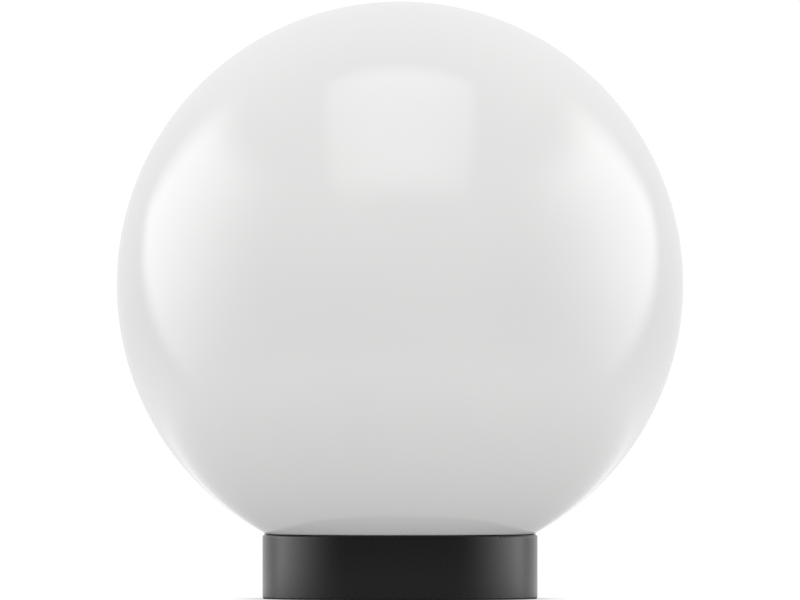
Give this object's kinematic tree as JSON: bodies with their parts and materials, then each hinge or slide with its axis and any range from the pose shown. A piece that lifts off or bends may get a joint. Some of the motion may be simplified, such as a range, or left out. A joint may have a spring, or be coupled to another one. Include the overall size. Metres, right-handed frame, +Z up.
{
  "type": "garden globe light",
  "caption": "Opal ball-shaped outdoor light that screws into a low round black base holding a lampholder and lamp.",
  "frame": {"origin": "middle of the foot seal's underside, where the light stands", "axes": "+Z up along the globe's axis, -Y towards the viewer of the picture, +X to the viewer's right"},
  "size_m": [0.2, 0.2, 0.2107],
  "materials": {
    "black_housing": "satin moulded black",
    "seal_rubber": "matt moulded black rubber",
    "zinc_steel": "bright zinc plate",
    "porcelain": "white glazed porcelain, opaque",
    "plated_shell": "nickel-plated brass",
    "contact_brass": "bright brass",
    "block_plastic": "natural polyamide",
    "brown_lead": "brown silicone sleeve",
    "blue_lead": "blue silicone sleeve",
    "copper_wire": "bare copper strands",
    "opal_globe": "glossy opal acrylic",
    "solder": "solder",
    "cap_insulator": "black insulator",
    "cap_metal": "rolled aluminium",
    "lamp_white": "white moulded housing",
    "board": "white circuit board",
    "led_phosphor": "yellow phosphor",
    "lamp_dome": "frosted white dome"
  },
  "bodies": {
    "base": {"base_housing": "black_housing", "foot_seal": "seal_rubber", "cable_grommet": "seal_rubber", "lampholder_bracket": "zinc_steel", "bracket_screws": "zinc_steel", "holder_screws": "zinc_steel", "lampholder_body": "porcelain", "lampholder_shell": "plated_shell", "centre_contact": "contact_brass", "shell_contact": "contact_brass", "terminal_clamp_screws": "contact_brass", "terminal_block": "block_plastic", "terminal_clamps": "contact_brass", "terminal_block_screws": "zinc_steel", "block_fixing_screw": "zinc_steel", "live_lead": "brown_lead", "neutral_lead": "blue_lead", "lead_ends": "copper_wire"},
    "globe_ring": {"globe_seal": "seal_rubber"},
    "globe": {"globe": "opal_globe"},
    "lamp_tip": {"lamp_contact": "solder"},
    "lamp": {"lamp_insulator": "cap_insulator", "lamp_cap": "cap_metal", "lamp_housing": "lamp_white", "led_board": "board", "leds": "led_phosphor", "driver_board": "board", "lamp_dome": "lamp_dome"}
  },
  "joints": [
    {"name": "globe_rise", "type": "slide", "parent": "base", "child": "globe_ring", "axis": [0, 0, 1], "range_m": [0, 0.00783]},
    {"name": "globe_turn", "type": "hinge", "parent": "globe_ring", "child": "globe", "pos_m": [0, 0, 0.1107], "axis": [0, 0, 1], "range_deg": [0, 470]},
    {"name": "lamp_rise", "type": "slide", "parent": "base", "child": "lamp_tip", "axis": [0, 0, 1], "range_m": [0, 0.01814]},
    {"name": "lamp_turn", "type": "hinge", "parent": "lamp_tip", "child": "lamp", "pos_m": [0, 0, 0.05], "axis": [0, 0, 1], "range_deg": [0, 1800]}
  ],
  "couplings": [
    {"joint": "globe_rise", "follows": "globe_turn", "m_per_rad": 0.00095493},
    {"joint": "lamp_rise", "follows": "lamp_turn", "m_per_rad": 0.00057751}
  ]
}
